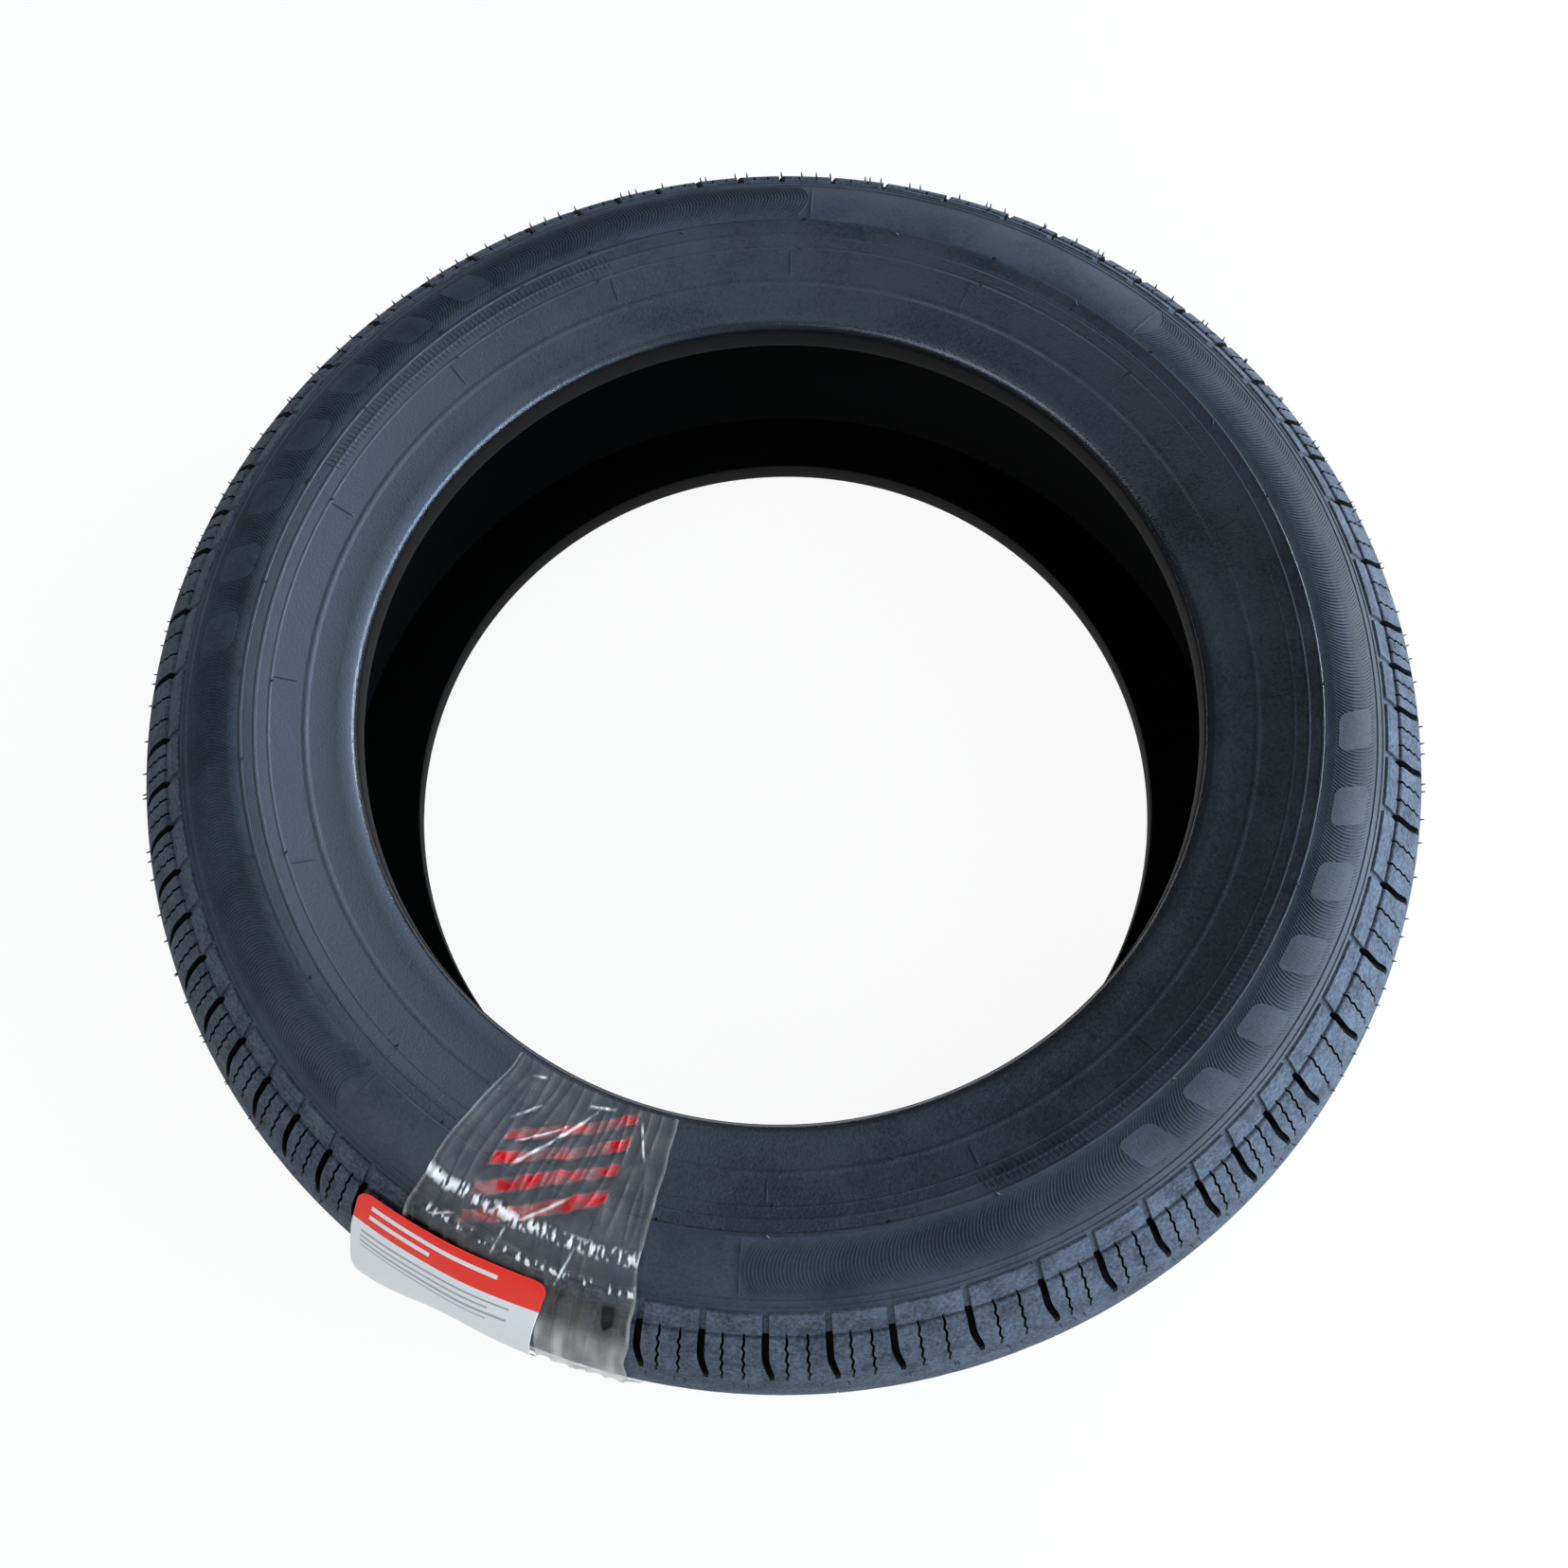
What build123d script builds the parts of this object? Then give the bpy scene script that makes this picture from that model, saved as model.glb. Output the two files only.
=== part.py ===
"""Car tyre lying on its side, with a strip of wrapping film and a card label over one shoulder.

The wheel's axis is +Z and the tyre's middle plane is z = 0. Sizes are in millimetres, and angles are
counted in degrees from +X towards +Y. Points of the section are (radius, height) pairs. The tyre is
built pitch by pitch, as its tread is: each pitch is a straight facet that ends on the true circle.
"""
import os
from itertools import pairwise
from math import cos, radians, sin

from build123d import *

# Overall section
SEAT_RADIUS = 177.0            # bead seats, which grip the rim
SECTION_HEIGHT = 99.8          # from the seats to the tread
SECTION_WIDTH = 180.0          # over the two widest lands
WIDEST_DEPTH = 53.3            # from the tread in to the middle of the widest land
LAND_WIDTH = 4.0               # flat ring that the tyre lies on

# Beads
BEAD_GAP = 113.0               # between the two toes
SEAT_WIDTH = 11.5
SEAT_TRIM = 0.5                # left inside the seats before they are bored round
HEEL_SIZE = 4.5
RIM_LINE_PLACE = 0.46          # share of the flank from heel to land
RIM_LINE_DIP = 1.2             # how far the flank sinks there

# Wall thickness
SIDEWALL = 6.5
CROWN = 12.5
LINER_CROWN_WIDTH = 90.0       # flat width inside the crown

# Shoulder outline: (in from the tread, down from the widest land)
UPPER_SIDE = (38.8, 3.5)
PANEL_EDGE = (28.3, 9.8)
BLOCK_EDGE = (19.8, 18.2)
SHOULDER = (7.6, 34.0)
CROWN_EDGE = (0.0, 59.0)

# Tread: grooves that run round the crown
TREAD_GROOVES = 3
TREAD_GROOVE_SPACING = 20.0
TREAD_GROOVE_WIDTH = 8.0
TREAD_GROOVE_DEPTH = 7.0

# Pitches of the tread: short, middle and long in a mixed order, so that the tyre doesn't hum
PITCH_SHARES = {"S": 4.2, "M": 5.2, "L": 6.4}
PITCH_ORDER = (
    "MMMMLLMMMSSSLLLLMMSSLLMSMMMMSMMLLM"
    "MSSSSSMLMLLLLMSLLLSSSSSSSSSSSMMMMM"
)
FIRST_PITCH_ANGLE = 255.7

# Shoulder blocks, with a slot at each end and a raised buttress panel beside them
SLOT_WIDTH = 3.2
SLOT_DEPTH = 5.0
SLOT_REACH = 0.55              # share of the way from the shoulder to the crown's edge
PANEL_RISE = 0.8               # how far a panel's inner edge stands proud of the sidewall
BLOCK_RISE = 1.2               # how far a block stands proud of its panel
PANEL_GAP_DEPTH = 0.5          # of the gap between two panels, as wide as the slot
CUT_MARGIN = 6.0               # how far a cutter stands out of the surface

# Film strip, laid over the tyre from one bead to the far shoulder
FILM_GAP = 0.7
FILM_THICKNESS = 0.4
FILM_START_ANGLE = 233.4
FILM_ARC = 21.8
FILM_FACETS = 4

# Card label, bent over the shoulder on top of the film
LABEL_GAP = 0.7
LABEL_THICKNESS = 0.4
LABEL_START_ANGLE = 229.6
LABEL_ARC = 17.7
LABEL_FACETS = 3
LABEL_ON_PANEL = 0.35          # share of the panel that the label covers
LABEL_FOOT = 8.0               # height of its lower edge


def shoulder_point(place):
    """Turns (in from the tread, down from the widest land) into a point of the upper section."""
    inward, down = place
    return Vector(outside_radius - inward, half_width - down)


def lower(points):
    """Gives the points mirrored to the lower half, in the opposite order."""
    return [Vector(point.X, -point.Y) for point in reversed(points)]


def outward(start, end):
    """Unit normal of a stretch of the outline, away from the rubber."""
    along = (end - start).normalized()
    return Vector(-along.Y, along.X)


def offset_line(points, distance):
    """Moves a line of points outwards, with each stretch parallel to where it was."""
    normals = [outward(start, end) for start, end in pairwise(points)]
    moved = []
    for point, before, after in zip(points, [normals[0], *normals], [*normals, normals[-1]]):
        moved.append(point + (before + after) * (distance / (1 + before.dot(after))))
    return moved


def section_plane(angle):
    """Plane through the axis, with the radius as its x and the height as its y."""
    return Plane.XZ.rotated((0, 0, angle))


def turned(angles):
    """Places that turn a shape round the axis to each angle."""
    return [Location((0, 0, 0), (0, 0, angle)) for angle in angles]


def halfway(points, arc):
    """Points of a section halfway along a facet, where it lies a little nearer the axis."""
    return [Vector(point.X * cos(radians(arc / 2)), point.Y) for point in points]


def facet(points, arc):
    """Straight length of a section, with its ends in two planes through the axis."""
    chord = 2 * outside_radius * sin(radians(arc / 2))
    with BuildPart() as length:
        with BuildSketch(section_plane(arc / 2)):
            with BuildLine():
                Polyline(*halfway(points, arc), close=True)
            make_face()
        extrude(amount=chord, both=True)
        split(bisect_by=section_plane(0), keep=Keep.BOTTOM)
        split(bisect_by=section_plane(arc), keep=Keep.TOP)
    return length.part


def lateral_slot():
    """Slots between two shoulder blocks, above and below, with the shallow gap between two panels."""
    slope = outward(shoulder, crown_edge)
    run_out = shoulder + (crown_edge - shoulder) * SLOT_REACH
    gap_slope = outward(panel_inner, panel_outer)
    gap_run = (panel_outer - panel_inner).normalized() * CUT_MARGIN
    with BuildPart() as slot:
        with BuildSketch(Plane.XZ):
            with BuildLine():
                Polyline(
                    panel_inner - gap_run - gap_slope * PANEL_GAP_DEPTH,
                    panel_outer - gap_slope * PANEL_GAP_DEPTH,
                    block_edge - outward(block_edge, shoulder) * SLOT_DEPTH,
                    run_out,
                    run_out + slope * CUT_MARGIN,
                    shoulder + slope * 2 * CUT_MARGIN,
                    panel_inner - gap_run + gap_slope * 2 * CUT_MARGIN,
                    close=True,
                )
            make_face()
        extrude(amount=SLOT_WIDTH / 2, both=True)
        mirror(about=Plane.XY)
    return slot.part


def tyre_pitch(arc, slot):
    """One pitch of the tyre, from the middle of one slot to the middle of the next."""
    crown_radius = outside_radius * cos(radians(arc / 2))
    with BuildPart() as pitch:
        add(facet([*outline, *reversed(liner)], arc))
        with BuildSketch(section_plane(arc / 2)):
            with Locations((crown_radius, 0)):
                with GridLocations(0, TREAD_GROOVE_SPACING, 1, TREAD_GROOVES):
                    Rectangle(2 * TREAD_GROOVE_DEPTH, TREAD_GROOVE_WIDTH)
        extrude(amount=outside_radius * sin(radians(arc)), both=True, mode=Mode.SUBTRACT)
        with Locations(*turned([0, arc])):
            add(slot, mode=Mode.SUBTRACT)
        Cylinder(SEAT_RADIUS, SECTION_WIDTH, mode=Mode.SUBTRACT)
    return pitch.part


def sheet_facet(path, gap, thickness, arc):
    """One straight facet of a sheet that lies over the tyre along a path of its section."""
    return facet([*offset_line(path, gap), *reversed(offset_line(path, gap + thickness))], arc)


# Points of the section
outside_radius = SEAT_RADIUS + SECTION_HEIGHT
half_width = SECTION_WIDTH / 2
toe_height = BEAD_GAP / 2
heel_height = toe_height + SEAT_WIDTH
land_radius = outside_radius - WIDEST_DEPTH
toe = Vector(SEAT_RADIUS - SEAT_TRIM, toe_height)
seat_end = Vector(SEAT_RADIUS - SEAT_TRIM, heel_height)
heel = Vector(SEAT_RADIUS + HEEL_SIZE, heel_height + HEEL_SIZE)
land_inner = Vector(land_radius - LAND_WIDTH / 2, half_width)
land_outer = Vector(land_radius + LAND_WIDTH / 2, half_width)
rim_line = heel + (land_inner - heel) * RIM_LINE_PLACE - outward(heel, land_inner) * RIM_LINE_DIP
upper_side = shoulder_point(UPPER_SIDE)
panel_edge = shoulder_point(PANEL_EDGE)
block_edge = shoulder_point(BLOCK_EDGE)
shoulder = shoulder_point(SHOULDER)
crown_edge = shoulder_point(CROWN_EDGE)
panel_slope = outward(panel_edge, block_edge)
panel_inner = panel_edge + panel_slope * PANEL_RISE
panel_outer = block_edge - panel_slope * BLOCK_RISE
flank = [land_inner, land_outer, upper_side]
panel = [panel_edge, panel_inner, panel_outer]
block = [block_edge, shoulder, crown_edge]
outer_half = [toe, seat_end, heel, rim_line, *flank, *panel, *block]
liner_side = Vector(land_radius, half_width - SIDEWALL)
liner_crown = Vector(outside_radius - CROWN, LINER_CROWN_WIDTH / 2)
liner_half = [liner_side, liner_crown]
outline = [*outer_half, *lower(outer_half)]
liner = [*liner_half, *lower(liner_half)]

# Tyre: one piece, joined from its pitches
degrees_per_share = 360 / sum(PITCH_SHARES[kind] for kind in PITCH_ORDER)
pitch_arcs = {kind: share * degrees_per_share for kind, share in PITCH_SHARES.items()}
slot = lateral_slot()
pitch_parts = {kind: tyre_pitch(arc, slot) for kind, arc in pitch_arcs.items()}
pitch_starts = {kind: [] for kind in PITCH_SHARES}
start = FIRST_PITCH_ANGLE
for kind in PITCH_ORDER:
    pitch_starts[kind].append(start)
    start += pitch_arcs[kind]

with BuildPart() as tyre:
    for kind, pitch in pitch_parts.items():
        with Locations(*turned(pitch_starts[kind])):
            add(pitch)
tyre.part.label = "tyre"

# Film strip
film_arc = FILM_ARC / FILM_FACETS
film_path = [heel, *flank, panel_inner, *block, *lower(block[1:])]
film_facet = sheet_facet(film_path, FILM_GAP, FILM_THICKNESS, film_arc)

with BuildPart() as film_strip:
    with Locations(*turned([FILM_START_ANGLE + number * film_arc for number in range(FILM_FACETS)])):
        add(film_facet)
film_strip.part.label = "film_strip"

# Card label
label_arc = LABEL_ARC / LABEL_FACETS
label_top = block_edge + (panel_inner - block_edge) * LABEL_ON_PANEL
label_path = [label_top, *block, Vector(outside_radius, LABEL_FOOT)]
label_gap = FILM_GAP + FILM_THICKNESS + LABEL_GAP
label_facet = sheet_facet(label_path, label_gap, LABEL_THICKNESS, label_arc)

with BuildPart() as label:
    with Locations(*turned([LABEL_START_ANGLE + number * label_arc for number in range(LABEL_FACETS)])):
        add(label_facet)
label.part.label = "label"

os.makedirs("parts", exist_ok=True)
export_step(tyre.part, "parts/tyre.step")
export_step(film_strip.part, "parts/film_strip.step")
export_step(label.part, "parts/label.step")
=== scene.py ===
"""Car tyre lying on a pale studio floor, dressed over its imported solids.

The moulded ring gets its round section, cut shoulder blocks, sipes, panels and raised rings. Ridged bands, ribs,
pads and vent hairs stand on it, and a strip of wrapping film and a card label lie over one shoulder. Lengths are
in metres, and angles run from +X towards +Y.
"""

from bisect import bisect_left
from math import cos, pi, radians, sin, sqrt

import bmesh
import bpy
from bpy.props import FloatProperty, FloatVectorProperty, IntProperty, PointerProperty, StringProperty
from mathutils import Matrix, Vector, noise


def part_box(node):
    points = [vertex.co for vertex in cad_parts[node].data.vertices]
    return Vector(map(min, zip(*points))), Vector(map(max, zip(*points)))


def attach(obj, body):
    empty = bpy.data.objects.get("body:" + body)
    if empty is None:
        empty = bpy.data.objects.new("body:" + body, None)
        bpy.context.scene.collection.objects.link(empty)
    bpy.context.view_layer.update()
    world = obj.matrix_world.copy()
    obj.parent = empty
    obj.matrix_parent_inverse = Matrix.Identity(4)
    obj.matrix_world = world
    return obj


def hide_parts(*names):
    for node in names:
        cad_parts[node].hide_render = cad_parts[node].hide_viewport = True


bl_info = {
    "name": "Car Tyre",
    "version": (1, 0, 0),
    "blender": (4, 5, 0),
    "location": "View3D > Sidebar > Tyre",
    "description": "Dresses a car tyre with its moulded relief, wrapping film and card label",
    "category": "Object",
}

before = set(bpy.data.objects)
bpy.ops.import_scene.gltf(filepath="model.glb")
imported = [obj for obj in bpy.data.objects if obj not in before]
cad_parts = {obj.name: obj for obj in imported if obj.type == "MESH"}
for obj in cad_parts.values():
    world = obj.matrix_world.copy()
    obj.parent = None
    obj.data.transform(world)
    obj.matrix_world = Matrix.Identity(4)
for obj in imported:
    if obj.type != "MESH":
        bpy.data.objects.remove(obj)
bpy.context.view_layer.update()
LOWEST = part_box("tyre")[0].z
MM = 0.001

# Order of short, middle and long pitches round the tread, from the first angle on, as the solid has them
PITCH_SHARES = {"S": 4.2, "M": 5.2, "L": 6.4}
PITCH_ORDER = "MMMMLLMMMSSSLLLLMMSSLLMSMMMMSMMLLMMSSSSSMLMLLLLMSLLLSSSSSSSSSSSMMMMM"
FIRST_PITCH = radians(255.7)

# Half section in millimetres, (radius, height): the outside from heel to crown, and the liner from crown to toe
OUTSIDE_LINE = (
    (180.7, 72.8), (182.6, 73.2), (185.0, 73.4), (187.6, 74.1), (190.2, 75.2), (193.6, 76.6), (197.5, 78.4),
    (203.0, 81.1), (209.0, 84.2), (216.0, 87.8),
    (223.5, 90.0), (231.0, 89.1), (238.0, 86.7), (244.0, 83.4), (248.5, 80.2), (253.0, 76.1), (257.0, 71.8),
    (263.6, 64.0), (269.2, 56.0), (273.7, 44.5), (276.5, 31.0), (276.9, 14.0), (276.9, 0.0),
)
LINER_LINE = (
    (264.3, 0.0), (264.2, 30.0), (262.0, 44.5), (250.0, 59.0), (236.0, 73.0), (223.5, 81.5), (212.0, 77.0),
    (200.0, 70.0), (188.0, 63.1), (180.2, 58.5),
)
BEAD_LINE = (
    (178.4, 57.3), (177.3, 56.9), (177.0, 57.7), (177.0, 62.0), (177.0, 66.4), (177.1, 68.0), (177.6, 69.4),
    (178.4, 70.7), (179.6, 72.0),
)

# Raised rings of the sidewall: (radius, height, width) in millimetres
RINGS = (
    (196.6, 0.30, 2.2), (210.0, 0.18, 1.0), (214.8, 0.25, 1.2), (220.3, 0.30, 1.2), (243.9, 0.45, 1.2),
    (246.4, 0.40, 1.1),
)

# Columns of one pitch: four over the slot, then the block with its two sipes; the sparser sets are part of it
BLOCK_COLUMNS = tuple(range(15))
TREAD_COLUMNS = (0, 1, 2, 3, 5, 9, 13)
SIDE_COLUMNS = (1, 5, 9, 13)
COLUMN_SHARES = {5: 0.17, 9: 0.495, 13: 0.83}
SIPE_COLUMNS = {7: 0.33, 11: 0.66}

# Finish of each kind of row: 0 moulded rubber, 1 dull black inside (partly painted shade), 2 tread rubber, 3 ridged
# rubber
ROW_FINISH = {
    "bead": 1, "liner": 1, "side": 0, "outer_side": 3, "edge": 3, "panel_edge": 2, "panel": 2, "block_edge": 2,
    "block": 2, "shoulder": 2, "crown": 2, "groove": 2,
}
CUT_COLUMNS = (0, 1, 2, 6, 7, 10, 11)  # columns that start a face inside a slot or a sipe
# Faces inside the slots and sipes take the inside's near-black finish: painted shade in the cuts
CUT_SHADE_FINISH = 1

# Spacing of the moulding's rows, in metres, and the steps along its liner
SIDE_ROW_STEP = 0.0048
SIDE_ROW_CLEARANCE = 0.0013
BLOCK_ROW_STEP = 0.0022
LINER_STEPS = 10
OUTER_SIDE_RADIUS = 221.0  # in millimetres, where the sidewall's finish changes
# The bead's seat and toe take the inside's finish: dull chafer rubber, darkened as painted shade so the far bead's rim
# stays dark
BEAD_TOP = 70.5            # height in millimetres up to which the bead is dull

# Details of the relief, in metres
SLOT_LIP = 0.0007          # from a slot's wall to the next column
PANEL_SIPE_DEPTH = 0.0012
ROOT = 0.0004              # how deep ridges and pads are sunk into the rubber
HAIR_ROOT = 0.0005
RIDGE_WIDTH = 0.0010

# Angles past which edges stay crisp
SHARP_MOULDING = radians(34)
SHARP_RELIEF = radians(14)

# What the film's points carry for its finish, painted glints and reflections among them, and the radius at which its
# width is measured, in metres
FILM_MARKS = ("painted_crease_glint", "ink", "haze_and_reflection", "painted_dark_reflection")
FILM_RADIUS = 0.245

# Squares of the two sheets, across and along
FILM_GRID = (200, 400)
LABEL_GRID = (150, 130)

# Sharp creases of the film, which rise and carry a painted white glint: (side, place) of both ends and half the width
FILM_CREASES = (
    ((-0.030, 0.026), (-0.020, 0.014), 0.0010), ((-0.018, 0.044), (0.006, 0.006), 0.0011),
    ((0.036, 0.022), (0.028, 0.004), 0.0009), ((-0.006, 0.060), (0.012, 0.044), 0.0008),
    ((-0.034, 0.006), (-0.026, 0.003), 0.0010), ((0.000, 0.006), (0.014, 0.003), 0.0011),
    ((-0.010, 0.076), (-0.008, 0.062), 0.0007), ((0.016, 0.078), (0.020, 0.060), 0.0007),
    ((-0.022, 0.034), (-0.004, 0.018), 0.0006), ((-0.038, 0.074), (-0.028, 0.067), 0.0008),
)

# Print of the film: a few even slanted stripes, in metres
STRIPE_COUNT = 4
STRIPE_STEP = 0.0118
STRIPE_WIDTH = 0.0060
STRIPE_HALF_LENGTH = 0.026
STRIPE_SLANT = 0.55


def linear(colour):
    """Linear RGBA of an sRGB hex colour."""
    channels = [int(colour[place:place + 2], 16) / 255 for place in (1, 3, 5)]
    return (*((c / 12.92 if c <= 0.04045 else ((c + 0.055) / 1.055) ** 2.4) for c in channels), 1.0)


def ease(low, high, value):
    """Smooth step from 0 at low to 1 at high."""
    share = min(max((value - low) / (high - low), 0.0), 1.0)
    return share * share * (3 - 2 * share)


def zigzag(turns):
    """Straight-sided wave between -1 and 1, which starts at 0."""
    return abs((turns + 0.75) % 1 * 4 - 2) - 1


class Line:
    """Smooth line through points of the section, measured along its length in metres."""

    def __init__(self, points, parts=24):
        points = [Vector(point) * MM for point in points]
        ends = [2 * points[0] - points[1], *points, 2 * points[-1] - points[-2]]
        self.points = [points[0]]
        for p0, p1, p2, p3 in zip(ends, ends[1:], ends[2:], ends[3:]):
            for part in range(1, parts + 1):
                t = part / parts
                self.points.append(0.5 * (
                    2 * p1 + (p2 - p0) * t + (2 * p0 - 5 * p1 + 4 * p2 - p3) * t ** 2
                    + (3 * p1 - p0 - 3 * p2 + p3) * t ** 3
                ))
        self.places = [0.0]
        for before, after in zip(self.points, self.points[1:]):
            self.places.append(self.places[-1] + (after - before).length)
        self.length = self.places[-1]

    def at(self, place):
        """Point and outward normal at a place along the line."""
        place = min(max(place, 0.0), self.length)
        after = min(max(bisect_left(self.places, place), 1), len(self.points) - 1)
        start, end = self.points[after - 1], self.points[after]
        share = (place - self.places[after - 1]) / (self.places[after] - self.places[after - 1])
        along = (end - start).normalized()
        return start.lerp(end, share), Vector((-along.y, along.x))

    def over(self, place):
        """Point and normal of the whole section, which mirrors the line past its end."""
        if place <= self.length:
            return self.at(place)
        point, normal = self.at(2 * self.length - place)
        return Vector((point.x, -point.y)), Vector((normal.x, -normal.y))

    def at_radius(self, radius):
        """Place where the line first reaches a radius, given in millimetres."""
        return next(s for s, point in zip(self.places, self.points) if point.x >= radius * MM)


OUTSIDE = Line(OUTSIDE_LINE)
LINER = Line(LINER_LINE)
PANEL_START = OUTSIDE.at_radius(248.3)
LEDGE = OUTSIDE.at_radius(257.0)
SLOT_END = OUTSIDE.at_radius(270.9)
SIPE_END = OUTSIDE.at_radius(270.2)
CROWN_START = OUTSIDE.at_radius(276.5)


def spun(point, angle):
    """Point of the section turned to an angle round the axis."""
    return Vector((point.x * cos(angle), point.x * sin(angle), point.y))


def pitches():
    """Start and arc of each pitch, in radians."""
    share = 2 * pi / sum(PITCH_SHARES[kind] for kind in PITCH_ORDER)
    start, places = FIRST_PITCH, []
    for kind in PITCH_ORDER:
        places.append((start, PITCH_SHARES[kind] * share))
        start += PITCH_SHARES[kind] * share
    return places


class MouldSizes(bpy.types.PropertyGroup):
    """Sizes of the relief that the mould gives the tyre"""

    slot_width: FloatProperty(
        name="Slot Width", description="Width of the slot between two shoulder blocks",
        default=0.0029, unit="LENGTH",
    )
    slot_depth: FloatProperty(
        name="Slot Depth", description="Depth of the slot where it leaves the buttress",
        default=0.005, unit="LENGTH",
    )
    slot_hook: FloatProperty(
        name="Slot Hook", description="Angle by which the slot's outer end turns aside",
        default=radians(0.5), subtype="ANGLE",
    )
    sipe_width: FloatProperty(
        name="Sipe Width", description="Width of the fine cuts in each block",
        default=0.0010, unit="LENGTH",
    )
    sipe_depth: FloatProperty(
        name="Sipe Depth", description="Depth of the fine cuts in each block",
        default=0.003, unit="LENGTH",
    )
    sipe_swing: FloatProperty(
        name="Sipe Swing", description="How far a sipe's zigzag leaves its middle line",
        default=0.0006, unit="LENGTH",
    )
    panel_rise: FloatProperty(
        name="Panel Rise", description="How far a buttress panel stands proud of the sidewall",
        default=0.0008, unit="LENGTH",
    )
    panel_gap: FloatProperty(
        name="Panel Gap", description="Depth of the gap between two panels", default=0.0014, unit="LENGTH",
    )
    block_rise: FloatProperty(
        name="Block Rise", description="How far a block stands proud of its panel",
        default=0.0012, unit="LENGTH",
    )
    edge_groove: FloatProperty(
        name="Edge Groove", description="Depth of the fine groove along a panel's two long edges",
        default=0.0013, unit="LENGTH",
    )
    groove_depth: FloatProperty(
        name="Groove Depth", description="Depth of the grooves that run round the crown",
        default=0.007, unit="LENGTH",
    )
    groove_width: FloatProperty(
        name="Groove Width", description="Width of the grooves that run round the crown",
        default=0.008, unit="LENGTH",
    )
    groove_spacing: FloatProperty(
        name="Groove Spacing", description="Distance between the grooves of the crown",
        default=0.020, unit="LENGTH",
    )
    hatch_step: FloatProperty(
        name="Hatch Step", description="Angle between two ridges of the outer ridged bands",
        default=radians(0.36), subtype="ANGLE",
    )
    hatch_height: FloatProperty(
        name="Hatch Height", description="Height of the fine ridges", default=0.0005, unit="LENGTH",
    )
    pad_height: FloatProperty(
        name="Pad Height", description="Height of the plain raised pads", default=0.0006, unit="LENGTH",
    )
    hair_length: FloatProperty(
        name="Vent Hair Length", description="Length of the hairs that the mould's vents leave",
        default=0.003, unit="LENGTH",
    )
    seed: IntProperty(name="Seed", description="Seed of the hairs' uneven places", default=7)


class WrapSizes(bpy.types.PropertyGroup):
    """Sizes of the film strip and the card label"""

    film_gap: FloatProperty(
        name="Film Gap", description="How far the film lies above the rubber", default=0.0012, unit="LENGTH",
    )
    film_start: FloatProperty(
        name="Film Start", description="Angle of the film's first edge", default=radians(233.5), subtype="ANGLE",
    )
    film_arc: FloatProperty(
        name="Film Arc", description="Angle that the film covers", default=radians(21.6), subtype="ANGLE",
    )
    label_middle: FloatProperty(
        name="Label Middle", description="Angle of the label's middle", default=radians(238.4), subtype="ANGLE",
    )
    label_width: FloatProperty(
        name="Label Width", description="Width of the card", default=0.082, unit="LENGTH",
    )
    label_length: FloatProperty(
        name="Label Length", description="Length of the card over the shoulder", default=0.072, unit="LENGTH",
    )
    label_header: FloatProperty(
        name="Label Header", description="Height of the coloured header", default=0.0155, unit="LENGTH",
    )
    label_tilt: FloatProperty(
        name="Label Tilt", description="How far the label is turned on the shoulder",
        default=radians(-4.5), subtype="ANGLE",
    )
    card_thickness: FloatProperty(
        name="Card Thickness", description="Thickness of the card", default=0.0003, unit="LENGTH",
    )


class FinishColours(bpy.types.PropertyGroup):
    """Colours of the finishes, as sRGB hex values"""

    rubber: StringProperty(name="Rubber", description="Moulded rubber", default="#0b0c0e")
    rubber_dull: StringProperty(name="Dull Rubber", description="Patches of bloom on the rubber", default="#1a1c1f")
    tread: StringProperty(name="Tread", description="Chalky rubber of the tread", default="#343941")
    tread_dusty: StringProperty(name="Dusty Tread", description="Dusty patches of the tread", default="#5f6875")
    ridged: StringProperty(name="Ridged", description="Rubber of the ridged bands", default="#242b34")
    ridged_dusty: StringProperty(name="Dusty Ridged", description="Dusty patches of those bands", default="#373f4c")
    # The liner's near-black also stands as painted shade inside the ring, on the bead seats and in the slots and sipes
    liner: StringProperty(name="Liner", description="Inner liner", default="#040404")
    film: StringProperty(name="Film", description="Tint of the film", default="#8f8b84")
    film_ink: StringProperty(name="Film Ink", description="Print on the film", default="#c8141f")
    ink: StringProperty(name="Ink", description="Print on the label", default="#ff2a12")
    card: StringProperty(name="Card", description="Coated card", default="#f4f4f2")
    grey_ink: StringProperty(name="Grey Ink", description="Fine print lines on the card", default="#a9a9ad")


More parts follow.
